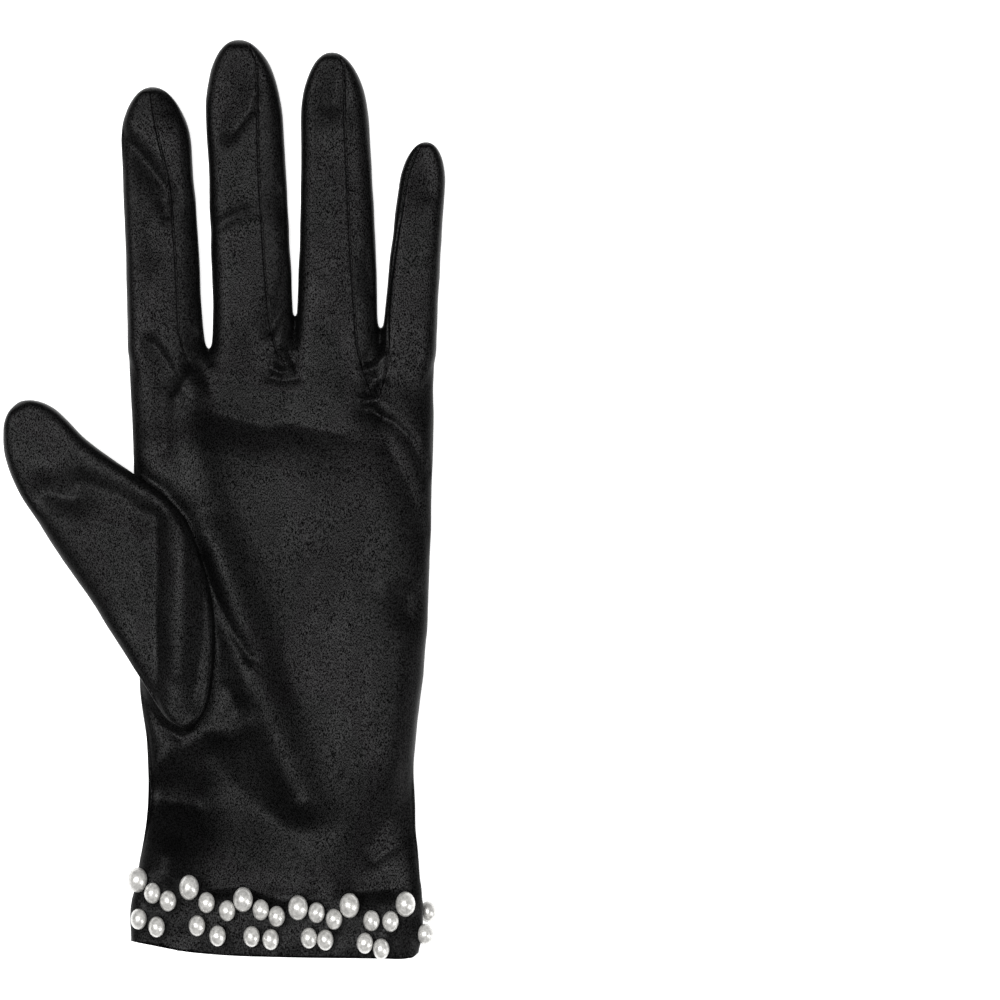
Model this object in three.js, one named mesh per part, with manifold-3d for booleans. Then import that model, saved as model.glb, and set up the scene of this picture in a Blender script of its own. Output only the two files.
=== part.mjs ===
// A wrist length dress glove for the left hand, in black stretch satin, with imitation pearls sewn
// round its cuff. It lies on its back with the palm up, a little lofted, as it would on a table.
//
// Millimetres, +Z up. The fingers point along +Y and the thumb towards -X. The origin is under the
// middle of the glove, on the surface that it lies on.
//
// The pieces are cut as a glove maker cuts them: the palm and back in one piece, a strip between
// each two fingers (the fourchettes), and a thumb set into the palm. Each is a real wall of cloth
// round the space for the hand, and the pearls are seated on the cuff.

import * as THREE from "three";
import { mergeVertices } from "three/addons/utils/BufferGeometryUtils.js";
import Module from "manifold-3d";

const wasm = await Module();
wasm.setup();

// Driving dimensions

const handLength = 151; // cuff edge to the foot of the fingers
const palmWidth = 75; // across the knuckles
const palmLoft = 11; // height of the hand part
const fingerLength = 79.1; // the middle finger, from the foot of the fingers
const fingerWidth = 19;
const fingerLoft = 8.6;
const thumbLength = 93.2;
const thumbWidth = 32;
const thumbLoft = 8;
const thumbLift = 6.6; // how high the foot of the thumb lies, on the palm
const wall = 1; // the cloth
const foldDepth = 1.7; // the deepest dent or the highest ridge in the cloth
const seamGap = 0.3; // between two pieces that are sewn together
const seatGap = 0.3; // between a pearl and the cloth
const pearlGap = 0.2; // least distance between two pearls
const largePearl = 4.9; // diameter
const smallPearl = 4.1;
const pearlStretch = 1.28; // a pearl's length over its diameter
const pearlBand = 24; // height of the band of pearls, from the cuff edge
const backRepeats = 4; // groups of pearls round the back of the cuff
const hemRise = 4.75; // how far the cuff edge rises at the thumb's side
const fourchetteFoot = 6; // how far a fourchette reaches below the foot of the fingers
const fingerRoot = 12; // how far a finger's form runs on into the hand's
const handRound = 6; // the rounding of the hand part at the foot of the fingers

// The pearls under the back of the cuff hold it off the surface.
const cuffLift = largePearl + seatGap;

// Tables. Lengths are shares of the sizes above: along is a share of the piece's length, left, right
// and across are shares of half its width, and high and lift are shares of its loft and lift.

const handRows = [
  { along: 0, left: 1.007, right: 0.9, high: 0.7, lift: 1 },
  { along: 0.035, left: 1.013, right: 0.92, high: 0.7, lift: 1 },
  { along: 0.08, left: 1.02, right: 0.938, high: 0.7, lift: 1 },
  { along: 0.115, left: 0.99, right: 0.925, high: 0.7, lift: 1 },
  { along: 0.165, left: 0.953, right: 0.907, high: 0.74, lift: 0.84 },
  { along: 0.215, left: 0.92, right: 0.887, high: 0.79, lift: 0.52 },
  { along: 0.263, left: 0.9, right: 0.88, high: 0.84, lift: 0.22 },
  { along: 0.313, left: 0.9, right: 0.873, high: 0.88, lift: 0.05 },
  { along: 0.363, left: 0.913, right: 0.887, high: 0.92, lift: 0 },
  { along: 0.412, left: 0.94, right: 0.907, high: 0.95, lift: 0 },
  { along: 0.512, left: 0.967, right: 0.953, high: 1, lift: 0 },
  { along: 0.66, left: 0.983, right: 0.98, high: 1, lift: 0 },
  { along: 0.834, left: 1, right: 1, high: 0.98, lift: 0 },
  { along: 0.94, left: 1.02, right: 1.007, high: 0.9, lift: 0 },
  { along: 1, left: 1.035, right: 1.01, high: 0.8, lift: 0 },
];

// foot and tip are places across the hand. length and width are shares of fingerLength and
// fingerWidth, and bow, end (the rounded end's length), tipWidth and footWidth are shares of the
// finger's own width. seam is where the strip from the finger before is sewn on.
const fingerRows = [
  { name: "index", foot: -0.782, tip: -0.873, bow: 0.02, length: 0.852, width: 0.974, end: 0.85, tipWidth: 0.93, footWidth: 1.03 },
  { name: "middle", seam: -0.8, foot: -0.195, tip: -0.293, bow: 0.025, length: 1, width: 1, end: 1, tipWidth: 1, footWidth: 1.06 },
  { name: "ring", seam: -0.8, foot: 0.358, tip: 0.327, bow: 0.034, length: 0.96, width: 0.974, end: 0.85, tipWidth: 0.86, footWidth: 1.13 },
  { name: "little", seam: -0.66, foot: 0.833, tip: 0.953, bow: -0.02, length: 0.676, width: 0.647, end: 0.9, tipWidth: 0.9, footWidth: 1.13 },
];

// The thumb lies across the hand from its foot, on the palm, to its tip, beside the hand.
const thumbFoot = { across: -0.607, along: 0.3775 };
const thumbTurn = THREE.MathUtils.degToRad(117.1); // from +X to the thumb's axis
const thumbRows = [
  { along: 0, left: 0.05, right: -0.02 },
  { along: 0.014, left: 0.09, right: 0.17 },
  { along: 0.048, left: 0.225, right: 0.44 },
  { along: 0.106, left: 0.288, right: 0.706 },
  { along: 0.172, left: 0.319, right: 0.938 },
  { along: 0.234, left: 0.363, right: 1.106 },
  { along: 0.341, left: 0.425, right: 1.313 },
  { along: 0.428, left: 0.463, right: 1.406 },
  { along: 0.501, left: 0.525, right: 1.444 },
  { along: 0.56, left: 0.581, right: 1.381 },
  { along: 0.614, left: 0.619, right: 1.26 },
  { along: 0.687, left: 0.663, right: 1.031 },
  { along: 0.76, left: 0.714, right: 0.8 },
  { along: 0.837, left: 0.7, right: 0.581 },
  { along: 0.9, left: 0.62, right: 0.47 },
  { along: 0.94, left: 0.52, right: 0.375 },
  { along: 0.975, left: 0.38, right: 0.22 },
  { along: 0.993, left: 0.22, right: 0.07 },
  { along: 1, left: 0.08, right: -0.04 },
];

// Where the seam of each finger's fourchette runs up its palm side, as places across the finger.
const seamRows = [
  { along: -0.08, index: 0.6, middle: 0.6, ring: 0.6 },
  { along: 0.05, index: 0.4, middle: 0.43, ring: 0.46 },
  { along: 0.25, index: 0.37, middle: 0.31, ring: 0.4 },
  { along: 0.5, index: 0.36, middle: 0.31, ring: 0.32 },
  { along: 0.75, index: 0.22, middle: 0.37, ring: 0.28 },
  { along: 0.9, index: 0.08, middle: 0.5, ring: 0.4 },
  { along: 1, index: 0.02, middle: 0.5, ring: 0.5 },
];
const backSeam = 0.28; // height of the seams on the back, as a share of the finger's loft

// Folds of the cloth, each a straight crest or valley that fades over its reach, a share of the
// piece's width. rise is a share of foldDepth, and below 0 for a dent.
const folds = [
  { on: "hand", across: -0.69, along: 0.87, toAcross: -0.44, toAlong: 0.65, reach: 0.045, rise: 0.7 },
  { on: "hand", across: -0.4, along: 0.62, toAcross: -0.16, toAlong: 0.45, reach: 0.04, rise: 0.9 },
  { on: "hand", across: -0.12, along: 0.42, toAcross: 0.12, toAlong: 0.31, reach: 0.05, rise: 0.6 },
  { on: "hand", across: -0.2, along: 0.6, toAcross: 0.06, toAlong: 0.42, reach: 0.06, rise: -1 },
  { on: "hand", across: -0.4, along: 0.34, toAcross: 0.09, toAlong: 0.24, reach: 0.06, rise: -1 },
  { on: "hand", across: -0.79, along: 0.27, toAcross: -0.7, toAlong: 0.22, reach: 0.07, rise: -0.8 },
  { on: "hand", across: -0.88, along: 0.32, toAcross: -0.46, toAlong: 0.39, reach: 0.035, rise: 0.7 },
  { on: "hand", across: -0.5, along: 0.92, toAcross: 0.4, toAlong: 0.9, reach: 0.06, rise: -0.7 },
  { on: "hand", across: 0.61, along: 0.9, toAcross: 0.93, toAlong: 0.83, reach: 0.03, rise: -0.9 },
  { on: "hand", across: 0.65, along: 0.83, toAcross: 0.93, toAlong: 0.73, reach: 0.035, rise: -0.5 },
  { on: "hand", across: 0.45, along: 0.215, toAcross: 0.84, toAlong: 0.25, reach: 0.03, rise: 0.5 },
  { on: "hand", across: 0.4, along: 0.13, toAcross: 0.66, toAlong: 0.12, reach: 0.05, rise: -0.7 },
  { on: "index", across: -0.9, along: 0.76, toAcross: 0.1, toAlong: 0.52, reach: 0.2, rise: -0.8 },
  { on: "middle", across: -0.3, along: 0.8, toAcross: -0.2, toAlong: 0.7, reach: 0.35, rise: -0.5 },
  { on: "ring", across: -0.1, along: 0.88, toAcross: -0.1, toAlong: 0.82, reach: 0.3, rise: -0.5 },
  { on: "thumb", across: 0.62, along: 0.17, toAcross: 0.98, toAlong: 0.54, reach: 0.09, rise: 0.6 },
  { on: "thumb", across: 0.2, along: 0.22, toAcross: 0.5, toAlong: 0.52, reach: 0.13, rise: -0.6 },
  { on: "thumb", across: 0, along: 0.74, toAcross: 0.15, toAlong: 0.7, reach: 0.2, rise: -0.5 },
];

// The pearls on the palm side of the cuff: place across the cuff, and height in the band.
const palmPearls = [
  { size: "large", across: -0.975, up: 0.838 },
  { size: "large", across: -0.606, up: 0.765 },
  { size: "large", across: -0.223, up: 0.641 },
  { size: "large", across: 0.156, up: 0.556 },
  { size: "large", across: 0.5, up: 0.578 },
  { size: "large", across: 0.886, up: 0.589 },
  { size: "small", across: -0.858, up: 0.702 },
  { size: "small", across: -0.736, up: 0.623 },
  { size: "small", across: -0.47, up: 0.608 },
  { size: "small", across: -0.324, up: 0.524 },
  { size: "small", across: -0.094, up: 0.533 },
  { size: "small", across: 0.013, up: 0.466 },
  { size: "small", across: 0.283, up: 0.504 },
  { size: "small", across: 0.396, up: 0.437 },
  { size: "small", across: 0.657, up: 0.42 },
  { size: "small", across: 0.787, up: 0.411 },
  { size: "small", across: -0.918, up: 0.432 },
  { size: "small", across: -0.806, up: 0.354 },
  { size: "small", across: -0.526, up: 0.368 },
  { size: "small", across: -0.387, up: 0.264 },
  { size: "small", across: -0.154, up: 0.257 },
  { size: "small", across: -0.023, up: 0.227 },
  { size: "small", across: 0.239, up: 0.242 },
  { size: "small", across: 0.364, up: 0.221 },
  { size: "small", across: 0.625, up: 0.188 },
  { size: "small", across: 0.742, up: 0.127 },
];
// The two that show past the little finger's side of the cuff, one in front of its edge.
const edgePearls = [
  { size: "small", turn: -38, up: 0.488 },
  { size: "small", turn: 18, up: 0.269 },
];
// One group on the back: the zigzag of the palm side. shift is a share of the group's width.
const backGroup = [
  { size: "large", shift: 0, up: 0.62 },
  { size: "small", shift: 0.34, up: 0.52 },
  { size: "small", shift: 0.66, up: 0.44 },
  { size: "small", shift: 0.22, up: 0.24 },
];

const satin = new THREE.MeshStandardMaterial({ color: 0x1b1b1c, roughness: 0.42, metalness: 0 });
const pearlCoat = new THREE.MeshStandardMaterial({ color: 0xdedbd4, roughness: 0.22, metalness: 0 });

// Shapes shared by the pieces

const fingers = fingerRows.map((row) => ({
  ...row,
  length: row.length * fingerLength,
  width: row.width * fingerWidth,
}));

// A smooth line through one column of a table.
function column(rows, name) {
  const places = rows.map((row) => row.along);
  const values = rows.map((row) => row[name]);
  const line = new THREE.CubicInterpolant(places, values, 1);
  const last = places.length - 1;
  return (along) => line.evaluate(THREE.MathUtils.clamp(along, places[0], places[last]))[0];
}

const hand = Object.fromEntries(
  ["left", "right", "high", "lift"].map((name) => [name, column(handRows, name)]),
);
const thumb = Object.fromEntries(["left", "right"].map((name) => [name, column(thumbRows, name)]));

// The rounded end of a finger: how full it is at a distance from its tip, from 0 to 1.
function fullness(distance, roundLength) {
  const t = THREE.MathUtils.clamp(distance / roundLength, 0, 1);
  return Math.sqrt(1 - (1 - t) ** 2);
}

const acrossHand = (across) => (across * palmWidth) / 2; // X is 0 on the hand's middle line

const thumbAxis = new THREE.Vector2(Math.cos(thumbTurn), Math.sin(thumbTurn));
const thumbSide = new THREE.Vector2(thumbAxis.y, -thumbAxis.x); // to the thumb's right
const thumbStart = new THREE.Vector2(acrossHand(thumbFoot.across), thumbFoot.along * handLength);

function thumbPoint(along, sideways) {
  return thumbStart
    .clone()
    .addScaledVector(thumbAxis, along * thumbLength)
    .addScaledVector(thumbSide, sideways);
}

function fingerCentre(finger, along) {
  const straight = THREE.MathUtils.lerp(acrossHand(finger.foot), acrossHand(finger.tip), along);
  const within = THREE.MathUtils.clamp(along, 0, 1);
  return straight + finger.bow * finger.width * 4 * within * (1 - within);
}

function fingerHalf(finger, along) {
  const within = THREE.MathUtils.clamp(along, 0, 1);
  const fromTip = (1 - along) * finger.length;
  const taper = THREE.MathUtils.lerp(finger.footWidth, finger.tipWidth, within);
  return (finger.width / 2) * taper * fullness(fromTip, finger.end * finger.width);
}

// A place on a piece, from shares, as [x, y].
function placeOn(piece, across, along) {
  if (piece === "hand") return [acrossHand(across), along * handLength];
  if (piece === "thumb") return thumbPoint(along, (across * thumbWidth) / 2).toArray();
  const finger = fingers.find((f) => f.name === piece);
  const x = fingerCentre(finger, along) + (across * finger.width) / 2;
  return [x, handLength + along * finger.length];
}

function widthOf(piece) {
  if (piece === "hand") return palmWidth;
  if (piece === "thumb") return thumbWidth;
  return fingers.find((f) => f.name === piece).width;
}

// How far the folds lift the upper side of the cloth at a place.
const creases = folds.map((fold) => ({
  onThumb: fold.on === "thumb",
  line: new THREE.Line3(
    new THREE.Vector3(...placeOn(fold.on, fold.across, fold.along), 0),
    new THREE.Vector3(...placeOn(fold.on, fold.toAcross, fold.toAlong), 0),
  ),
  reach: fold.reach * widthOf(fold.on),
  rise: fold.rise * foldDepth,
}));

function drape(x, y, onThumb) {
  const place = new THREE.Vector3(x, y, 0);
  const nearest = new THREE.Vector3();
  let sum = 0;
  for (const crease of creases.filter((c) => c.onThumb === onThumb)) {
    crease.line.closestPointToPoint(place, true, nearest);
    sum += crease.rise * Math.exp(-((place.distanceTo(nearest) / crease.reach) ** 2));
  }
  return sum;
}

// A slack tube's section, anticlockwise from its right side: { u, z, top }. u runs from -1 to 1
// across it and z from 0 to 1 up it. Its foot is flat, where it lies on the surface.
const sideHeight = 0.42; // where the section is widest
const footCorner = [
  { u: 0.985, z: 0.45 },
  { u: 0.93, z: 0.16 },
  { u: 0.82, z: 0 },
]; // z is a share of sideHeight here

function section(topSteps, squareness) {
  const points = [];
  for (let i = 0; i <= topSteps; i += 1) {
    const t = 1 - (2 * i) / topSteps;
    const u = (t + Math.sin((t * Math.PI) / 2)) / 2;
    const dome = (1 - Math.abs(u) ** squareness) ** (1 / 2.2);
    points.push({ u, z: sideHeight + (1 - sideHeight) * dome, top: dome });
  }
  const corner = footCorner.map(({ u, z }) => ({ u, z: z * sideHeight, top: 0 }));
  points.push(...corner.map((p) => ({ ...p, u: -p.u })));
  points.push(...corner.reverse());
  return points;
}

const handSection = section(12, 4);
const fingerSection = section(8, 2.4);
const thumbSection = section(8, 2.6);

// A closed solid through rings of points, each ring anticlockwise seen from the first one's side.
function loft(rings) {
  const count = rings[0].length;
  const positions = rings.flat();
  const index = [];
  for (let r = 0; r + 1 < rings.length; r += 1) {
    for (let i = 0; i < count; i += 1) {
      const a = r * count + i;
      const b = r * count + ((i + 1) % count);
      index.push(a, a + count, b, b, a + count, b + count);
    }
  }
  for (const [ring, first, turned] of [
    [rings[0], 0, false],
    [rings.at(-1), (rings.length - 1) * count, true],
  ]) {
    const middle = new THREE.Vector3();
    ring.forEach((p) => middle.addScaledVector(p, 1 / count));
    const hub = positions.push(middle) - 1;
    for (let i = 0; i < count; i += 1) {
      const a = first + i;
      const b = first + ((i + 1) % count);
      index.push(...(turned ? [hub, b, a] : [hub, a, b]));
    }
  }
  return new THREE.BufferGeometry().setFromPoints(positions).setIndex(index);
}

function solidOf(geometry) {
  const bare = geometry.clone();
  bare.deleteAttribute("normal");
  bare.deleteAttribute("uv");
  const merged = mergeVertices(bare, 1e-4);
  return new wasm.Manifold(
    new wasm.Mesh({
      numProp: 3,
      vertProperties: new Float32Array(merged.attributes.position.array),
      triVerts: new Uint32Array(merged.index.array),
    }),
  );
}

function meshOf(name, solid, material) {
  const { vertProperties, triVerts } = solid.getMesh();
  const geometry = new THREE.BufferGeometry();
  geometry.setAttribute("position", new THREE.BufferAttribute(new Float32Array(vertProperties), 3));
  geometry.setIndex(new THREE.BufferAttribute(new Uint32Array(triVerts), 1));
  const mesh = new THREE.Mesh(geometry.toNonIndexed(), material);
  mesh.geometry.computeVertexNormals();
  mesh.name = name;
  return mesh;
}

// Even steps, closer together towards the far end.
function closingSteps(count) {
  return Array.from({ length: count + 1 }, (_, i) => Math.sin(((i / count) * Math.PI) / 2));
}

// The hand part, drawn in by inset all round. An inner form (open true) runs out past the cuff.

// The cuff edge isn't straight: it rises to the thumb's side, and a little at the other corner.
function hemShift(u, along) {
  const fade = THREE.MathUtils.clamp(1 - along / 0.2, 0, 1);
  const rise = u < 0 ? (-u) ** 2.7 : 0.35 * u ** 8;
  return hemRise * rise * fade;
}

function handFrame(along, inset) {
  const left = acrossHand(-hand.left(along)) + inset;
  const right = acrossHand(hand.right(along)) - inset;
  const low = hand.lift(along) * cuffLift;
  return {
    centre: (left + right) / 2,
    half: (right - left) / 2,
    low: low + inset,
    high: low + hand.high(along) * palmLoft - inset,
  };
}

function handPoint({ u, z, top }, along, inset, y, closing = 1) {
  const { centre, half, low, high } = handFrame(along, inset);
  const middle = low + (high - low) * sideHeight;
  const x = centre + u * half * (0.985 + 0.015 * closing);
  const lifted = low + (high - low) * z + top * drape(x, y, false);
  return new THREE.Vector3(x, y, middle + (lifted - middle) * closing);
}

function handRing(along, inset, y, closing) {
  const shift = (u) => (inset > 0 ? 0 : hemShift(u, along));
  return handSection.map((p) => handPoint(p, along, inset, y, closing).setY(y + shift(p.u)));
}

function handForm(inset, open) {
  const steps = 20;
  const rings = [];
  if (open) rings.push(handRing(0, inset, -hemRise)); // it starts outside the cuff
  const last = handLength - inset;
  for (let i = 0; i <= steps; i += 1) {
    const y = ((last - handRound) * i) / steps;
    rings.push(handRing(y / handLength, inset, y));
  }
  for (const part of [0.55, 1]) {
    const y = last - handRound * (1 - part);
    const closing = Math.sqrt(1 - (0.9 * part) ** 2);
    rings.push(handRing(y / handLength, inset, y, closing));
  }
  return loft(rings);
}

function fingerForm(finger, inset) {
  const rings = [];
  const rootShrink = 0.72; // keeps the root within the hand part
  const top = handLength + finger.length - inset;
  const start = handLength - fingerRoot;
  for (const step of closingSteps(9)) {
    const y = start + (top - start) * Math.min(step, 0.9995);
    const along = (y - handLength) / finger.length;
    const fromTip = top - y;
    const root = THREE.MathUtils.clamp(-along * finger.length / fingerRoot, 0, 1);
    const end = fullness(fromTip, finger.end * finger.width);
    const endHeight = fullness(fromTip, (finger.end * finger.width) / 2);
    const taper = THREE.MathUtils.lerp(
      finger.footWidth,
      finger.tipWidth,
      THREE.MathUtils.clamp(along, 0, 1),
    );
    const full = (finger.width / 2) * taper * THREE.MathUtils.lerp(1, rootShrink, root);
    const half = (full - inset) * end;
    const high = fingerLoft - inset;
    const middle = inset + (high - inset) * sideHeight;
    rings.push(
      fingerSection.map(({ u, z, top: upper }) => {
        const x = fingerCentre(finger, along) + u * half;
        const lifted = inset + (high - inset) * z + upper * drape(x, y, false);
        return new THREE.Vector3(x, y, middle + (lifted - middle) * endHeight);
      }),
    );
  }
  return loft(rings);
}

// The thumb rises from the surface beside the hand onto the palm.
function thumbRise(x) {
  const handEdge = acrossHand(-hand.left(0.6));
  const begin = handEdge - thumbWidth * 0.38;
  const end = handEdge + thumbWidth * 0.12;
  return thumbLift * THREE.MathUtils.smoothstep(x, begin, end);
}

function thumbForm(inset) {
  const rings = [];
  const span = thumbLength - 2 * inset;
  const steps = 13;
  const endRound = thumbLoft * 0.8;
  for (let i = 0; i <= steps; i += 1) {
    const share = (1 - Math.cos((Math.PI * i) / steps)) / 2;
    const place = THREE.MathUtils.clamp(share, 0.002, 0.998);
    const along = (inset + span * place) / thumbLength;
    const right = (thumb.right(place) * thumbWidth) / 2 - inset;
    const left = (thumb.left(place) * thumbWidth) / 2 - inset;
    const half = Math.max((right + left) / 2, 0.05 * thumbLoft);
    const centre = (right - left) / 2;
    const fromEnd = Math.min(place, 1 - place) * span;
    const full = fullness(fromEnd, endRound);
    const high = thumbLoft - inset;
    const middle = inset + (high - inset) * sideHeight;
    rings.push(
      thumbSection.map(({ u, z, top }) => {
        const { x, y } = thumbPoint(along, centre + u * half);
        const lifted = inset + (high - inset) * z + top * drape(x, y, true);
        return new THREE.Vector3(x, y, middle + (lifted - middle) * full + thumbRise(x));
      }),
    );
  }
  return loft(rings);
}

// The strip between two fingers is what lies between its seams, above the seams on the back.

function seamPoints(finger, across, shift) {
  const steps = 8;
  const points = [];
  for (let i = 0; i <= steps; i += 1) {
    const along = THREE.MathUtils.lerp(-0.05, 1, i / steps);
    const half = fingerHalf(finger, along);
    const x = fingerCentre(finger, along) + across(along) * half + shift;
    points.push(new THREE.Vector2(x, handLength + along * finger.length));
  }
  return points;
}

function stripCutter(finger, next, grow) {
  const seam = column(seamRows, finger.name);
  const near = seamPoints(finger, seam, -grow);
  const far = seamPoints(next, () => next.seam, grow);
  const clear = new THREE.Vector2(0, 0.04 * fingerLength); // past the finger's end
  const foot = near[0].clone().lerp(far[0], 0.5);
  foot.y = handLength - fourchetteFoot - grow;
  const outline = new THREE.Shape([
    foot,
    ...far,
    far.at(-1).clone().add(clear),
    near.at(-1).clone().add(clear),
    ...near.reverse(),
  ]);
  const low = backSeam * fingerLoft - grow;
  const depth = 3 * palmLoft;
  return solidOf(new THREE.ExtrudeGeometry(outline, { depth, bevelEnabled: false }).translate(0, 0, low));
}

// The cloth

const outerHand = fingers.reduce(
  (sum, finger) => sum.add(solidOf(fingerForm(finger, 0))),
  solidOf(handForm(0, false)),
);
const innerHand = fingers.reduce(
  (sum, finger) => sum.add(solidOf(fingerForm(finger, wall))),
  solidOf(handForm(wall, true)),
);
const handShell = outerHand.subtract(innerHand).subtract(solidOf(thumbForm(-seamGap)));
const thumbShell = solidOf(thumbForm(0)).subtract(solidOf(thumbForm(wall))).subtract(innerHand);

const glove = new THREE.Group();
let palmAndBack = handShell;
for (let i = 0; i + 1 < fingers.length; i += 1) {
  const [finger, next] = [fingers[i], fingers[i + 1]];
  const strip = handShell.intersect(stripCutter(finger, next, 0));
  palmAndBack = palmAndBack.subtract(stripCutter(finger, next, seamGap));
  glove.add(meshOf(`fourchette_${finger.name}_${next.name}`, strip, satin));
}
glove.add(meshOf("palm_and_back", palmAndBack, satin));
glove.add(meshOf("thumb", thumbShell, satin));

// The pearls. A pearl's centre lies on a track round the cuff, seatGap and its radius off the cloth.

const radiusOf = (pearl) => (pearl.size === "large" ? largePearl : smallPearl) / 2;

// Its mesh is drawn larger by this much, so that its widest rings have the pearl's full radius.
const pearlSides = 10;
const cornerOf = (pearl) => radiusOf(pearl) / Math.cos(Math.PI / pearlSides);

// The cuff's outline at one height, level all round though the cuff edge isn't.
function cuffOutline(y) {
  return handSection.map((point) => {
    let along = y / handLength;
    for (let pass = 0; pass < 4; pass += 1) along = (y - hemShift(point.u, along)) / handLength;
    return handPoint(point, along, 0, along * handLength).setComponent(1, 0);
  });
}

const sidesOf = (outline) =>
  outline.map((p, i) => new THREE.Line3(p, outline[(i + 1) % outline.length]));

function distanceTo(sides, place) {
  const nearest = new THREE.Vector3();
  const distances = sides.map((side) =>
    side.closestPointToPoint(place, true, nearest).distanceTo(place),
  );
  return Math.min(...distances);
}

// A pearl is longer than it is wide, so it is also kept off the cuff's outline above and below it.
function trackRound(pearl) {
  const radius = cornerOf(pearl);
  const height = pearl.up * pearlBand;
  const outline = cuffOutline(height);
  const facing = [-0.85, -0.5, 0, 0.5, 0.85].map((share) => ({
    sides: sidesOf(cuffOutline(height + share * radius * pearlStretch)),
    reach: seatGap + radius * Math.sqrt(1 - share ** 2),
  }));
  const cloth = new THREE.CurvePath();
  sidesOf(outline).forEach(({ start, end }) => cloth.add(new THREE.LineCurve3(start, end)));
  const girth = cloth.getLength();
  const span = radius / girth; // the cloth's direction is taken over this
  const steps = 160;
  return Array.from({ length: steps }, (_, i) => {
    const round = i / steps;
    const before = cloth.getPoint((round - span + 1) % 1);
    const { x, z } = cloth.getPoint((round + span) % 1).sub(before).normalize();
    const outward = new THREE.Vector3(z, 0, -x);
    const place = cloth.getPoint(round);
    for (let pass = 0; pass < 5; pass += 1) {
      const short = facing.map(({ sides, reach }) => reach - distanceTo(sides, place));
      place.addScaledVector(outward, Math.max(...short));
    }
    return place.setY(height);
  });
}

function onCuff(pearl) {
  const track = trackRound(pearl);
  const girth = track.reduce((sum, p, i) => sum + p.distanceTo(track.at(i - 1)), 0);
  return { ...pearl, track, girth };
}

// Where on its track, from 0 to 1, a pearl lies at a place across the palm side of the cuff.
function roundAtAcross({ track, across, up }) {
  const { centre, half } = handFrame((up * pearlBand) / handLength, 0);
  const x = centre + across * half;
  const next = track.findIndex((p, i) => i > 0 && p.x <= x);
  const [before, after] = [track[next - 1], track[next]];
  return (next - (x - after.x) / (before.x - after.x)) / track.length;
}

// The same for a pearl at a turn, in degrees, up from the little finger's side.
function roundAtTurn({ track, turn, up }) {
  const { centre, half, low, high } = handFrame((up * pearlBand) / handLength, 0);
  const middle = (low + high) / 2;
  const hub = new THREE.Vector3(centre + half - (middle - low), up * pearlBand, middle);
  const angle = THREE.MathUtils.degToRad(turn);
  const aim = new THREE.Vector3(Math.cos(angle), 0, Math.sin(angle));
  const lined = track.map((p) => p.clone().sub(hub).normalize().dot(aim));
  return lined.indexOf(Math.max(...lined)) / track.length;
}

const pearls = [];
for (const row of palmPearls) {
  const pearl = onCuff({ ...row, side: "palm" });
  pearls.push({ ...pearl, round: roundAtAcross(pearl) });
}
for (const row of edgePearls) {
  const pearl = onCuff({ ...row, side: "palm" });
  pearls.push({ ...pearl, round: roundAtTurn(pearl) });
}
// The back's groups run from the thumb's side to the little finger's, as shares of the girth.
const backStart = 0.55;
const backEnd = 0.965;
for (let i = 0; i < backRepeats; i += 1) {
  for (const row of backGroup) {
    const round = THREE.MathUtils.lerp(backStart, backEnd, (i + row.shift) / backRepeats);
    pearls.push(onCuff({ ...row, side: "back", round }));
  }
}

// Pearls that would touch are moved apart along the cuff until each keeps its gap.
function spreadPearls() {
  const rounds = 80;
  for (let pass = 0; pass < rounds; pass += 1) {
    for (const [i, a] of pearls.entries()) {
      for (const b of pearls.slice(i + 1)) {
        let around = a.round - b.round;
        around -= Math.round(around);
        const reach = cornerOf(a) + cornerOf(b) + pearlGap;
        const du = (around * a.girth) / reach;
        const dv = ((a.up - b.up) * pearlBand) / (reach * pearlStretch);
        const apart = Math.hypot(du, dv);
        if (apart < 1) {
          const push = ((1 - apart) * reach) / (2 * a.girth * Math.max(apart, 0.1));
          a.round += push * (du || 0.5);
          b.round -= push * (du || 0.5);
        }
      }
    }
  }
}

function seatOf({ track, round }) {
  const place = (((round % 1) + 1) % 1) * track.length;
  const near = track[Math.floor(place) % track.length];
  const far = track[(Math.floor(place) + 1) % track.length];
  return near.clone().lerp(far, place % 1);
}

spreadPearls();
const counts = { palm: 0, back: 0 };
for (const pearl of pearls) {
  counts[pearl.side] += 1;
  const shape = new THREE.SphereGeometry(cornerOf(pearl), pearlSides, pearlSides / 2);
  shape.rotateY(Math.PI / pearlSides); // a corner of the mesh points straight down
  shape.scale(1, pearlStretch, 1);
  const number = String(counts[pearl.side]).padStart(2, "0");
  const mesh = new THREE.Mesh(shape, pearlCoat);
  mesh.name = `pearl_${pearl.side}_${number}`;
  mesh.position.copy(seatOf(pearl));
  glove.add(mesh);
}

// The origin goes under the middle of the glove.
const extent = new THREE.Box3().setFromObject(glove);
const centre = extent.getCenter(new THREE.Vector3());
glove.position.set(-centre.x, -centre.y, -extent.min.z);

export default glove;
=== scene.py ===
"""A wrist length dress glove of black stretch satin, palm up on a white surface, with imitation
pearls sewn round its cuff. Metres, +Z up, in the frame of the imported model."""

import math

import bmesh
import bpy
import numpy as np
from mathutils import Matrix, Vector


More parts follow.
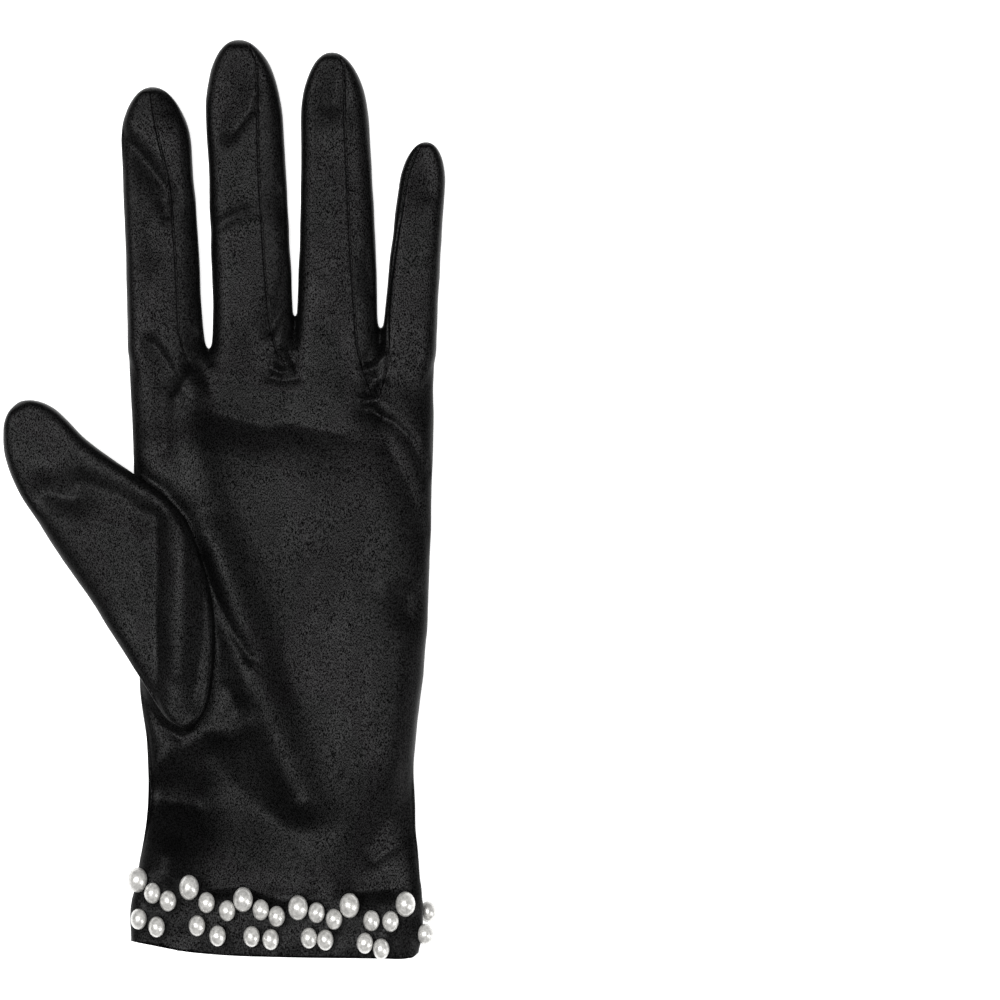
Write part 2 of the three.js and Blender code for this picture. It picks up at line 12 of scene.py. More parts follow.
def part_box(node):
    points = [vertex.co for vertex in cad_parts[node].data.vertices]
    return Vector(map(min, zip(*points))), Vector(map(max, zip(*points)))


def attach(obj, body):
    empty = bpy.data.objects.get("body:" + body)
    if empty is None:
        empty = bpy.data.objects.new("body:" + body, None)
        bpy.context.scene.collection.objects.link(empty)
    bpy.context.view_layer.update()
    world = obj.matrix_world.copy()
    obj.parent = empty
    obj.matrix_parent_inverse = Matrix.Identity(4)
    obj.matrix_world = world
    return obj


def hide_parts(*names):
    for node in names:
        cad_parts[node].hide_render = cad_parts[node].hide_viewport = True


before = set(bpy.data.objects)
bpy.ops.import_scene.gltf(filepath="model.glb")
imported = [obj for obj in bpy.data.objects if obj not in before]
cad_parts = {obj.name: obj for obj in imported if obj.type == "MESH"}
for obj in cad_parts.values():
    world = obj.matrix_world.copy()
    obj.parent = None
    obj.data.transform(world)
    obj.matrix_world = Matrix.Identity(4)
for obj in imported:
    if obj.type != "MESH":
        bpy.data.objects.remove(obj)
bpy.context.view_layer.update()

MM = 0.001
rng = np.random.default_rng(7)

# The photo's scale, and the pixel that lies over the frame's origin

PIXEL = 0.25 * MM
ORIGIN_PX = (223.0, 498.7)
PHOTO_MIDDLE_PX = (500.0, 500.0)
GLOVE_MIDDLE_PX = (225.0, 500.0)
PHOTO_SIDE_PX = 1000


def from_photo(px, py):
    """The place in the frame that lies under a pixel of the photo."""
    return ((px - ORIGIN_PX[0]) * PIXEL, (ORIGIN_PX[1] - py) * PIXEL)


# The hand's sizes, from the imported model's palm and back

HAND_SHARE = 0.657  # of the glove's length, up to where the fingers begin
PALM_SHARE = 0.9275  # of its width
PALM_MIDDLE_SHARE = 0.5018  # of its width, from the thumb's side
hand_low, hand_high = (Vector(corner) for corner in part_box("palm_and_back"))
GLOVE_LENGTH = hand_high.y - hand_low.y
CUFF_Y = hand_low.y
HAND_LENGTH = HAND_SHARE * GLOVE_LENGTH
PALM_WIDTH = PALM_SHARE * (hand_high.x - hand_low.x)
PALM_MIDDLE_X = hand_low.x + PALM_MIDDLE_SHARE * (hand_high.x - hand_low.x)

# The real sizes of the rest

PALM_LOFT = 11 * MM
FINGER_LENGTH = 79.1 * MM
FINGER_WIDTH = 19 * MM
FINGER_LOFT = 8.6 * MM
CUFF_LIFT = 5.2 * MM  # the cuff rests on the pearls of its back
HEM_RISE = 4.75 * MM  # of the cuff edge, towards the thumb's side
WEB = 1.4 * MM  # how far a finger's side moves out at its foot, to meet the next finger
WEB_REACH = 2.5 * MM
HAND_SPARE = 6 * MM  # how far the hand is made past the cuff edge, where it is cut off
HAND_END_ROUND = 4 * MM
FINGER_ROOT = 9 * MM  # how far a finger's tube runs into the hand
THUMB_LENGTH = 93.2 * MM
THUMB_WIDTH = 32 * MM
THUMB_LOFT = 8 * MM
THUMB_LIFT = 6.6 * MM
THUMB_END_ROUND = 0.3 * THUMB_LOFT
THUMB_LEAST_HALF = 0.3 * MM

CLOTH = 0.7 * MM
VOXEL = 0.5 * MM
KEPT_FACES = 120000  # of the glove's outer skin
LINING = 26 * MM  # how far in from the cuff edge the cloth's inner side is made
FOLD = 1.6 * MM
PEARL_STRETCH = 1.28  # a pearl's length over its diameter
PEARL_UNEVEN = 0.012  # a share of its radius
PEARL_PULL = 0.3 * MM
PULL_REACH = 0.5  # a share of the pearl's radius

# How finely and how softly the forms are made

HAND_STEPS, FINGER_STEPS, THUMB_STEPS = 48, 32, 36
HAND_RINGS, FINGER_RINGS, THUMB_RINGS = 90, 60, 70
HAND_SMOOTHING, THUMB_SMOOTHING = 16, 14
HAND_CRUMPLE, THUMB_CRUMPLE = 0.12 * MM, 0.1 * MM
PEARL_SEGMENTS, PEARL_RINGS = 36, 24

# A slack tube's section: how high its sides lie as a share of its loft, the powers that make its
# halves square or round, and the one that crowds the points of its under half towards the sides

SECTION_SIDE = 0.52
HAND_SQUARENESS, FINGER_SQUARENESS, THUMB_SQUARENESS = 12, 8, 8
UNDER_SQUARENESS = 5
SECTION_POWER = 2.2
UNDER_CROWDING = 0.35

# The ends of the forms. HAND_END has shares of the rounded end's length, with a ring at each.

HAND_END = (0.3, 0.55, 0.75, 0.9, 1)
HAND_END_CLOSING = 0.9
HAND_END_NARROWING = 0.015
ROOT_SHRINK = 0.78
FINGER_LAST = 0.9998  # a share of the finger, just short of its tip
TIP_SHORTNESS = 8  # how much shorter a tip is rounded seen from its side than from above
THUMB_FIRST, THUMB_LAST = 0.001, 0.999

# The thumb begins to rise RISE_START thumb widths before the hand's edge, and is at its full height
# RISE_RUN thumb widths further. The edge is taken at a share of the hand's length.

RISE_START, RISE_RUN = 0.75, 0.95
RISE_EDGE_ALONG = 0.6

# The cloth's crumple, as layers of noise, each with its strength, its size and its seed. One more
# is there near the cuff only, from none at the first distance from the edge to its full at the second.

CRUMPLE = ((1, 17 * MM, 3), (0.5, 8 * MM, 5), (0.18, 4 * MM, 8))
CUFF_CRUMPLE = (1.6, 7 * MM, 9)
CUFF_CRUMPLE_REACH = (20 * MM, 14 * MM)
NOISE_WAVES = 14
NOISE_SPREAD = (0.7, 1.6)
NOISE_GAIN = 2.2

# Folds lie on the upper side: how far its normal turns up where they begin, and where they are full

UPPER_SIDE = (0.05, 0.6)

# Tables. along is a share of the piece's length, left, right and across are shares of half its
# width, and high and lift are shares of its loft and lift.

HAND_ROWS = {
    "along": (
        0, 0.035, 0.08, 0.115, 0.165, 0.215, 0.263, 0.313, 0.363, 0.412, 0.512, 0.66, 0.834, 0.94, 1,
    ),
    "left": (
        1.007, 1.013, 1.02, 0.99, 0.953, 0.92, 0.9, 0.9, 0.913, 0.94, 0.967, 0.983, 1, 1.02, 1.035,
    ),
    "right": (
        0.9, 0.92, 0.938, 0.925, 0.907, 0.887, 0.88, 0.873, 0.887, 0.907, 0.953, 0.98, 1, 1.007, 1.01,
    ),
    "lift": (1, 1, 1, 1, 0.84, 0.52, 0.22, 0.05, 0, 0, 0, 0, 0, 0, 0),
}

HAND_TOP = {
    "along": (0, 0.115, 0.165, 0.215, 0.263, 0.313, 0.412, 0.66, 0.81, 0.84, 0.92, 0.945, 1),
    "high": (0.7, 0.7, 0.72, 0.84, 0.97, 1.04, 1.04, 1, 1, 0.985, 0.84, 0.81, 0.77),
}
HEM = {
    "across": (-1, -0.858, -0.63, -0.394, 0.064, 0.508, 0.75, 0.93, 0.97, 1),
    "rise": (1, 0.8, 0.48, 0.3, 0.17, 0.12, 0.1, 0.1, 0.16, 0.36),
}

# length and width are shares of FINGER_LENGTH and FINGER_WIDTH, and bow, end (the rounded end's
# length), tip_width and foot_width are shares of the finger's own width. web says on which sides,
# left and right, the finger widens at its foot to meet the next one.
FINGERS = [
    dict(foot=-0.782, tip=-0.873, bow=0.02, length=0.852, width=0.974, end=0.85, tip_width=0.93,
         foot_width=1.03, web=(0, 1)),
    dict(foot=-0.195, tip=-0.293, bow=0.025, length=1, width=1, end=1, tip_width=1,
         foot_width=1.06, web=(1, 1)),
    dict(foot=0.358, tip=0.327, bow=0.034, length=0.96, width=0.974, end=0.85, tip_width=0.86,
         foot_width=1.13, web=(1, 1)),
    dict(foot=0.833, tip=0.953, bow=-0.02, length=0.676, width=0.647, end=0.9, tip_width=0.9,
         foot_width=1.13, web=(1, 0)),
]

THUMB_FOOT = (-0.607, 0.3775)
THUMB_TURN = math.radians(117.1)  # the way it points, from +X
THUMB_ROWS = {
    "along": (
        0, 0.014, 0.048, 0.106, 0.172, 0.234, 0.341, 0.428, 0.501, 0.56,
        0.614, 0.687, 0.76, 0.837, 0.9, 0.94, 0.975, 0.993, 1,
    ),
    "left": (
        0.05, 0.09, 0.225, 0.288, 0.319, 0.363, 0.425, 0.463, 0.525, 0.581,
        0.619, 0.663, 0.714, 0.7, 0.62, 0.52, 0.38, 0.22, 0.08,
    ),
    "right": (
        -0.02, 0.17, 0.44, 0.706, 0.938, 1.106, 1.313, 1.406, 1.444, 1.381,
        1.26, 1.031, 0.8, 0.581, 0.47, 0.375, 0.22, 0.07, -0.04,
    ),
}

# The seams that show on the palm side of each finger, as paths over the photo's pixels. One shows
# as a groove with puckers along it. Its places and widths here are in mm, and its wave in radians
# to a mm of seam.
SEAMS = {
    "index": [
        (151, 86), (152, 100), (155, 120), (159, 140), (164, 160), (168.5, 180),
        (172.5, 215), (175, 245), (177.5, 290), (179, 330), (186, 358), (196, 372),
    ],
    "middle": [
        (248, 42), (257, 62), (257.5, 110), (259, 170), (262, 220), (265, 270), (270, 325), (277, 352),
        (286, 366),
    ],
    "ring": [
        (338, 54), (344, 66), (345, 120), (347, 170), (350, 240), (354, 300), (357, 345), (365, 375),
        (376, 402),
    ],
    "little": [
        (377, 402), (386, 372), (388.5, 345), (388.5, 315), (391, 285), (398, 235), (408, 175),
        (420, 146),
    ],
}

SEAM_FADE = 1.5  # from a seam's end to where it shows in full
SEAM_NARROW, SEAM_WIDE = 1.6, 2.6
SEAM_LIMIT = 4
GROOVE_DEPTH, GROOVE_HALF = 0.2, 0.5
PUCKER_DEPTH, PUCKER_REACH = 0.02, (0.3, 2.0)
PUCKER_WAVE = 1.7

# Folds. rise is a share of FOLD, below 0 for a dent, and left and right are how far the fold reaches
# to either side of its path, in pixels, as seen when going along the path. A dent has a sharper
# bottom than a ridge has a crest.
RIDGE_POWER, DENT_POWER = 2, 1.5
HAND_FOLDS = [
    # The long ridge from the index finger down past the thumb
    dict(path=[(192, 392), (196, 440), (205, 488)], rise=0.7, left=18, right=26),
    dict(path=[(210, 536), (230, 584), (247, 640), (261, 692), (279, 746), (300, 800)],
         rise=1.25, left=25, right=20),
    dict(path=[(282, 640), (292, 690)], rise=-0.3, left=24, right=14),
    # Beside the thumb
    dict(path=[(204, 562), (218, 600), (234, 632), (251, 658)], rise=-0.6, left=8, right=6),
    dict(path=[(236, 645), (246, 690)], rise=0.2, left=8, right=10),
    dict(path=[(228, 690), (237, 708)], rise=-0.35, left=10, right=12),
    dict(path=[(136, 470), (165, 490), (190, 520), (203, 556), (214, 600), (219, 650), (215, 700),
               (198, 730), (182, 738), (160, 724), (141, 690)],
         rise=-0.55, left=8, right=8),
    # The cuff's left side
    dict(path=[(150, 776), (176, 746), (204, 731), (230, 733), (247, 724)], rise=0.35, left=9, right=12),
    dict(path=[(214, 757), (238, 788), (264, 814)], rise=-1.9, left=36, right=60),
    dict(path=[(198, 800), (204, 826)], rise=-1.2, left=19, right=44),
    dict(path=[(170, 800), (198, 805)], rise=-1.9, left=40, right=24),
    dict(path=[(168, 857), (166, 868)], rise=1.1, left=17, right=17),
    # Above the pearls
    dict(path=[(216, 887), (246, 886), (272, 895)], rise=-0.5, left=17, right=9),
    dict(path=[(282, 899), (318, 897)], rise=-0.4, left=15, right=8),
    dict(path=[(358, 890), (390, 888)], rise=-0.85, left=21, right=11),
    # The cuff's right side
    dict(path=[(368, 846), (390, 818), (413, 794)], rise=-1.1, left=26, right=42),
    dict(path=[(376, 860), (408, 836)], rise=-0.35, left=12, right=7),
    dict(path=[(398, 640), (396, 760)], rise=0.5, left=20, right=55),
    # The palm below the fingers
    dict(path=[(212, 412), (254, 424)], rise=-0.8, left=15, right=28),
    dict(path=[(284, 424), (340, 434)], rise=-0.7, left=16, right=30),
    dict(path=[(366, 410), (394, 423), (412, 441), (427, 472)], rise=-0.6, left=6, right=14),
    dict(path=[(388, 446), (408, 484), (424, 530)], rise=-0.65, left=11, right=20),
    dict(path=[(386, 584), (404, 576), (420, 582)], rise=0.15, left=9, right=9),
    dict(path=[(407, 596), (408, 614)], rise=-0.7, left=14, right=17),
    dict(path=[(165, 385), (166, 450)], rise=-0.5, left=9, right=28),
    dict(path=[(154, 344), (168, 364), (180, 386)], rise=-0.5, left=6, right=13),
    # The index finger
    dict(path=[(124, 136), (146, 162), (168, 192)], rise=-0.8, left=8, right=17),
    dict(path=[(164, 204), (166, 216)], rise=-0.4, left=6, right=8),
    dict(path=[(150, 232), (154, 250)], rise=-0.55, left=12, right=22),
    dict(path=[(170, 94), (173, 108)], rise=-0.5, left=8, right=12),
    dict(path=[(200, 210), (204, 340)], rise=-0.6, left=10, right=14),
    # The middle finger
    dict(path=[(256, 86), (250, 110), (234, 132)], rise=-0.6, left=7, right=20),
    dict(path=[(214, 229), (228, 220), (244, 212)], rise=0.25, left=6, right=7),
    dict(path=[(280, 196), (284, 214)], rise=-0.35, left=6, right=11),
    dict(path=[(293, 282), (284, 306), (271, 330)], rise=-0.6, left=6, right=12),
    dict(path=[(248, 334), (254, 350)], rise=-0.3, left=14, right=20),
    # The ring finger and the little finger
    dict(path=[(338, 82), (334, 104)], rise=-0.6, left=8, right=20),
    dict(path=[(366, 262), (370, 292)], rise=-0.35, left=6, right=11),
    dict(path=[(338, 328), (342, 348)], rise=-0.25, left=14, right=22),
    dict(path=[(425, 156), (429, 190)], rise=-0.5, left=14, right=22),
]
# The small gathers where the fingers meet
GATHERS = [
    dict(path=[(198, 338), (192, 354), (186, 363)], rise=-0.5, left=7, right=7),
    dict(path=[(208, 354), (197, 368), (184, 384), (176, 398)], rise=0.3, left=4, right=4),
    dict(path=[(202, 368), (204, 375)], rise=-0.45, left=7, right=7),
    dict(path=[(208, 384), (210, 391)], rise=-0.3, left=6, right=6),
    dict(path=[(292, 330), (290, 342), (286, 352)], rise=-0.45, left=4.5, right=4.5),
    dict(path=[(284, 352), (274, 358), (272, 368), (280, 372)], rise=0.28, left=3.5, right=3.5),
    dict(path=[(278, 361), (282, 365)], rise=-0.3, left=4, right=4),
    dict(path=[(270, 377), (284, 381), (299, 378)], rise=-0.25, left=4.5, right=4.5),
    dict(path=[(290, 356), (297, 371)], rise=-0.3, left=4, right=4),
    dict(path=[(381, 342), (374, 354), (368, 362)], rise=-0.45, left=5, right=5),
    dict(path=[(385, 357), (372, 369), (360, 372)], rise=0.22, left=4, right=4),
    dict(path=[(374, 380), (368, 393)], rise=-0.55, left=7, right=7),
    dict(path=[(385, 384), (377, 399), (364, 402)], rise=0.2, left=4, right=4),
    dict(path=[(373, 408), (379, 415)], rise=-0.35, left=4, right=4),
]
THUMB_FOLDS = [
    dict(path=[(48, 492), (74, 500)], rise=-0.7, left=20, right=16),
    dict(path=[(84, 482), (122, 496), (152, 520)], rise=-0.6, left=14, right=20),
    dict(path=[(158, 516), (156, 600), (158, 690)], rise=-1.1, left=12, right=26),
    dict(path=[(188, 516), (182, 600), (180, 668)], rise=0.35, left=14, right=12),
    dict(path=[(204, 570), (204, 640), (196, 700)], rise=-0.5, left=8, right=12),
    # The stitched edge
    dict(path=[(188, 524), (204, 570), (212, 620), (213, 670), (204, 708), (186, 727), (164, 718),
               (148, 690)],
         rise=0.15, left=2.6, right=2.6),
]


def smooth_line(places, values):
    """A smooth curve through the values, as a function of place."""
    places, values = np.array(places, float), np.array(values, float)
    slopes = np.gradient(values, places)

    def line(at):
        at = np.clip(at, places[0], places[-1])
        i = np.clip(np.searchsorted(places, at) - 1, 0, len(places) - 2)
        step = places[i + 1] - places[i]
        t = (at - places[i]) / step
        keep = 1 - t
        start = values[i] + (2 * values[i] + slopes[i] * step) * t
        end = values[i + 1] + (2 * values[i + 1] - slopes[i + 1] * step) * keep
        return keep**2 * start + t**2 * end

    return line


HAND = {name: smooth_line(HAND_ROWS["along"], HAND_ROWS[name]) for name in ("left", "right", "lift")}
HAND["high"] = smooth_line(HAND_TOP["along"], HAND_TOP["high"])
hem_rise = smooth_line(HEM["across"], HEM["rise"])
THUMB = {name: smooth_line(THUMB_ROWS["along"], THUMB_ROWS[name]) for name in ("left", "right")}


def fullness(distance, round_length):
    """How full a rounded end is at a distance from its tip, from 0 to 1."""
    t = np.clip(distance / round_length, 0, 1)
    return math.sqrt(1 - (1 - t) ** 2)


def smoothstep(x, low, high):
    """A soft step from 0 at low to 1 at high."""
    t = np.clip((x - low) / (high - low), 0, 1)
    return t * t * (3 - 2 * t)


def across_hand(across):
    """The x of a share of half the palm's width, from its middle."""
    return PALM_MIDDLE_X + across * PALM_WIDTH / 2


def section(steps, squareness):
    """A slack tube's section, anticlockwise from its right side: rows of (u across, z up)."""
    side = SECTION_SIDE
    rows = []
    for i in range(2 * steps):
        angle = math.pi * i / steps
        u, v = math.cos(angle), math.sin(angle)
        if v >= 0:
            u = math.copysign(abs(u) ** (2 / squareness), u)
            rows.append((u, side + (1 - side) * (1 - abs(u) ** squareness) ** (1 / SECTION_POWER)))
        else:
            u = math.copysign(abs(u) ** UNDER_CROWDING, u)
            rows.append((u, side - side * (1 - abs(u) ** UNDER_SQUARENESS) ** (1 / SECTION_POWER)))
    return np.array(rows)


HAND_SECTION = section(HAND_STEPS, HAND_SQUARENESS)
FINGER_SECTION = section(FINGER_STEPS, FINGER_SQUARENESS)
THUMB_SECTION = section(THUMB_STEPS, THUMB_SQUARENESS)


def loft(rings):
    """Vertices and faces of a closed solid through rings of points."""
    count = len(rings[0])
    vertices = [tuple(point) for ring in rings for point in ring]
    faces = []
    for r in range(len(rings) - 1):
        for i in range(count):
            a, b = r * count + i, r * count + (i + 1) % count
            faces.append((a, a + count, b + count, b))
    faces.append(tuple(range(count)))
    last = (len(rings) - 1) * count
    faces.append(tuple(last + i for i in reversed(range(count))))
    return vertices, faces


def hand_frame(along):
    """The hand's middle, half its width, its under side and its upper side at a share of its length."""
    left = across_hand(-HAND["left"](along))
    right = across_hand(HAND["right"](along))
    low = HAND["lift"](along) * CUFF_LIFT
    return (left + right) / 2, (right - left) / 2, low, low + HAND["high"](along) * PALM_LOFT


def hand_ring(y, closing=1.0):
    """A ring of the hand's skin, lower and a little narrower where closing is below 1."""
    middle, half, low, high = hand_frame((y - CUFF_Y) / HAND_LENGTH)
    centre = (low + high) / 2
    half *= (1 - HAND_END_NARROWING) + HAND_END_NARROWING * closing
    return [
        (middle + u * half, y, centre + (low + (high - low) * z - centre) * closing)
        for u, z in HAND_SECTION
    ]


def hand_form():
    """The palm and back, running a little past the cuff edge, where it is cut off later."""
    last = CUFF_Y + HAND_LENGTH
    rings = [hand_ring(y) for y in np.linspace(CUFF_Y - HAND_SPARE, last - HAND_END_ROUND, HAND_RINGS)]
    for part in HAND_END:
        closing = math.sqrt(1 - (HAND_END_CLOSING * part) ** 2)
        rings.append(hand_ring(last - HAND_END_ROUND * (1 - part), closing))
    return loft(rings)


def finger_middle(finger, along):
    """The x of a finger's middle line, which bows a little between its foot and its tip."""
    within = np.clip(along, 0, 1)
    straight = finger["foot"] + (finger["tip"] - finger["foot"]) * along
    width = finger["width"] * FINGER_WIDTH
    return across_hand(straight) + finger["bow"] * width * 4 * within * (1 - within)


def finger_form(finger):
    """A finger's tube, from inside the hand out to its tip."""
    length, width = finger["length"] * FINGER_LENGTH, finger["width"] * FINGER_WIDTH
    foot_width, tip_width = finger["foot_width"], finger["tip_width"]
    foot_y = CUFF_Y + HAND_LENGTH
    middle = FINGER_LOFT / 2
    rings = []
    for step in np.sin(np.linspace(0, math.pi / 2, FINGER_RINGS)):
        y = foot_y - FINGER_ROOT + (length + FINGER_ROOT) * min(step, FINGER_LAST)
        along = (y - foot_y) / length
        taper = foot_width + (tip_width - foot_width) * np.clip(along, 0, 1)
        shrink = 1 + (ROOT_SHRINK - 1) * np.clip(-along * length / FINGER_ROOT, 0, 1)
        from_tip = foot_y + length - y
        half = width / 2 * taper * shrink * fullness(from_tip, finger["end"] * width)
        rise = fullness(from_tip, finger["end"] * width / TIP_SHORTNESS)
        web = WEB * math.exp(-max(y - foot_y, 0) / WEB_REACH) / 2
        left, right = (web * side for side in finger["web"])
        x = finger_middle(finger, along) + right - left
        half += left + right
        ring = [(x + u * half, y, middle + (FINGER_LOFT * z - middle) * rise) for u, z in FINGER_SECTION]
        rings.append(ring)
    return loft(rings)


def thumb_rise(x):
    """The thumb rises from the surface beside the hand onto the palm."""
    edge = across_hand(-HAND["left"](RISE_EDGE_ALONG))
    return THUMB_LIFT * float(np.clip((x - edge) / THUMB_WIDTH + RISE_START, 0, RISE_RUN)) / RISE_RUN


def thumb_form():
    """The leaf shaped thumb, from its foot on the palm out to its tip."""
    axis = np.array([math.cos(THUMB_TURN), math.sin(THUMB_TURN)])
    side = np.array([axis[1], -axis[0]])
    start = np.array([across_hand(THUMB_FOOT[0]), CUFF_Y + THUMB_FOOT[1] * HAND_LENGTH])
    centre = THUMB_LOFT / 2
    rings = []
    places = (1 - np.cos(np.linspace(0, math.pi, THUMB_RINGS))) / 2
    for place in np.clip(places, THUMB_FIRST, THUMB_LAST):
        right, left = (THUMB[name](place) * THUMB_WIDTH / 2 for name in ("right", "left"))
        half = max((right + left) / 2, THUMB_LEAST_HALF)
        middle = start + axis * place * THUMB_LENGTH + side * (right - left) / 2
        full = fullness(min(place, 1 - place) * THUMB_LENGTH, THUMB_END_ROUND)
        ring = []
        for u, z in THUMB_SECTION:
            x, y = middle + side * u * half
            ring.append((x, y, centre + (THUMB_LOFT * z - centre) * full + thumb_rise(x)))
        rings.append(ring)
    return loft(rings)


def new_object(name, vertices, faces):
    mesh = bpy.data.meshes.new(name)
    mesh.from_pydata(vertices, [], faces)
    mesh.validate()
    obj = bpy.data.objects.new(name, mesh)
    bpy.context.scene.collection.objects.link(obj)
    return obj


def apply_modifiers(obj):
    """Makes what the modifiers give into the object's own mesh."""
    depsgraph = bpy.context.evaluated_depsgraph_get()
    mesh = bpy.data.meshes.new_from_object(obj.evaluated_get(depsgraph))
    obj.modifiers.clear()
    obj.data = mesh
    mesh.name = obj.name


def fused(name, forms, smoothing):
    """One skin round several closed forms, smoothed."""
    vertices, faces = [], []
    for form_vertices, form_faces in forms:
        start = len(vertices)
        vertices += form_vertices
        faces += [tuple(start + i for i in face) for face in form_faces]
    obj = new_object(name, vertices, faces)
    shape = bmesh.new()
    shape.from_mesh(obj.data)
    bmesh.ops.recalc_face_normals(shape, faces=shape.faces)
    shape.to_mesh(obj.data)
    shape.free()
    remesh = obj.modifiers.new("skin", "REMESH")
    remesh.mode = "VOXEL"
    remesh.voxel_size = VOXEL
    smooth = obj.modifiers.new("smooth", "SMOOTH")
    smooth.factor = 0.5
    smooth.iterations = smoothing
    apply_modifiers(obj)
    return obj


def thin_out(obj, faces):
    """Leaves about that many faces, with fewer where the skin is flat."""
    triangles = sum(len(face.vertices) - 2 for face in obj.data.polygons)
    thin = obj.modifiers.new("thin", "DECIMATE")
    thin.ratio = min(1, faces / triangles)
    apply_modifiers(obj)


def line_cuff(obj):
    """Gives the cloth its thickness, and its inner side as far in as it can be seen."""
    outside = len(obj.data.polygons)
    wall = obj.modifiers.new("wall", "SOLIDIFY")
    wall.thickness = CLOTH
    wall.offset = -1
    apply_modifiers(obj)
    shape = bmesh.new()
    shape.from_mesh(obj.data)
    shape.faces.ensure_lookup_table()
    hidden = [f for f in shape.faces[outside:] if f.calc_center_median().y > CUFF_Y + LINING]
    bmesh.ops.delete(shape, geom=hidden, context="FACES")
    shape.to_mesh(obj.data)
    shape.free()


def hem_y(x):
    """Where the cuff edge lies at a place across it. It rises to the thumb's side."""
    middle, half, _, _ = hand_frame(0.0)
    return CUFF_Y + HEM_RISE * hem_rise((x - middle) / half)


def open_cuff(obj):
    """Cuts the skin off at the hem, and lines its edge up with it."""
    shape = bmesh.new()
    shape.from_mesh(obj.data)
    cut = [f for f in shape.faces if f.calc_center_median().y < hem_y(f.calc_center_median().x)]
    bmesh.ops.delete(shape, geom=cut, context="FACES")
    edge = {v for e in shape.edges if e.is_boundary for v in e.verts}
    for vertex in edge:
        vertex.co.y = float(hem_y(vertex.co.x))
    shape.to_mesh(obj.data)
    shape.free()


def read_points(mesh):
    points = np.empty(len(mesh.vertices) * 3)
    mesh.vertices.foreach_get("co", points)
    return points.reshape(-1, 3)


def read_normals(mesh):
    normals = np.empty(len(mesh.vertices) * 3)
    mesh.vertex_normals.foreach_get("vector", normals)
    return normals.reshape(-1, 3)


def write_points(mesh, points):
    mesh.vertices.foreach_set("co", points.ravel())
    mesh.update()


def add_attribute(mesh, name, values):
    attribute = mesh.attributes.new(name, "FLOAT", "POINT")
    attribute.data.foreach_set("value", values.astype(np.float32))


def path_distance(points, path):
    """The distance from a path on the plan, the side of it (1 at its right, -1 at its left, between
    them past its ends), and the length run along it."""
    path = np.array(path, float)
    best = np.full(len(points), np.inf)
    side = np.zeros(len(points))
    run = np.zeros(len(points))
    travelled = 0.0
    for start, end in zip(path[:-1], path[1:]):
        step = end - start
        length = np.linalg.norm(step)
        offset = points[:, :2] - start
        t = np.clip(offset @ step / length**2, 0, 1)
        away = offset - t[:, None] * step
        distance = np.linalg.norm(away, axis=1)
        turned = (step[1] * away[:, 0] - step[0] * away[:, 1]) / (length * np.maximum(distance, 1e-9))
        nearer = distance < best
        best = np.where(nearer, distance, best)
        side = np.where(nearer, turned, side)
        run = np.where(nearer, travelled + t * length, run)
        travelled += length
    return best, side, run


def photo_path(path):
    """A path over the photo's pixels, as places in the frame."""
    return [from_photo(px, py) for px, py in path]


def drape(points, folds):
    """How far the folds lift the upper side at each point."""
    lift = np.zeros(len(points))
    for fold in folds:
        distance, side, _ = path_distance(points, photo_path(fold["path"]))
        reach = (fold["left"] + (fold["right"] - fold["left"]) * (side + 1) / 2) * PIXEL
        power = RIDGE_POWER if fold["rise"] > 0 else DENT_POWER
        lift += fold["rise"] * FOLD * np.exp(-((distance / reach) ** power))
    return lift


def value_noise(points, size, seed):
    """Smooth noise of about -1 to 1, as a sum of slanted waves of about that size."""
    waves = np.random.default_rng(seed)
    total = np.zeros(len(points))
    for _ in range(NOISE_WAVES):
        direction = waves.normal(size=3)
        direction /= np.linalg.norm(direction)
        pitch = size * waves.uniform(*NOISE_SPREAD)
        total += np.sin(points @ direction * (2 * math.pi / pitch) + waves.uniform(0, 2 * math.pi))
    return total / NOISE_WAVES * NOISE_GAIN


def shape_cloth(obj, folds, crumple):
    """Lifts the folds and a slight crumple into the upper side of a piece."""
    points, normals = read_points(obj.data), read_normals(obj.data)
    upper = smoothstep(normals[:, 2], *UPPER_SIDE)
    points[:, 2] += drape(points, folds) * upper
    crumpled = sum(strength * value_noise(points, size, seed) for strength, size, seed in CRUMPLE)
    strength, size, seed = CUFF_CRUMPLE
    near_cuff = smoothstep(points[:, 1], *(CUFF_Y + reach for reach in CUFF_CRUMPLE_REACH))
    crumpled += strength * near_cuff * value_noise(points, size, seed)
    points += normals * (crumple * crumpled)[:, None]
    points[:, 2] = np.maximum(points[:, 2], 0)
    write_points(obj.data, points)


def seat_pearls(obj, pearls):
    """The cloth is drawn up to each pearl that is sewn on it."""
    points, normals = read_points(obj.data), read_normals(obj.data)
    for centre, radius, _ in pearls:
        away = points - np.array(centre)
        away[:, 1] /= PEARL_STRETCH
        gap = np.linalg.norm(away, axis=1) - radius
        faces_it = np.einsum("ij,ij->i", away, normals) < 0
        pull = PEARL_PULL * np.exp(-((gap / (PULL_REACH * radius)) ** 2)) * faces_it
        points += normals * pull[:, None]
    write_points(obj.data, points)


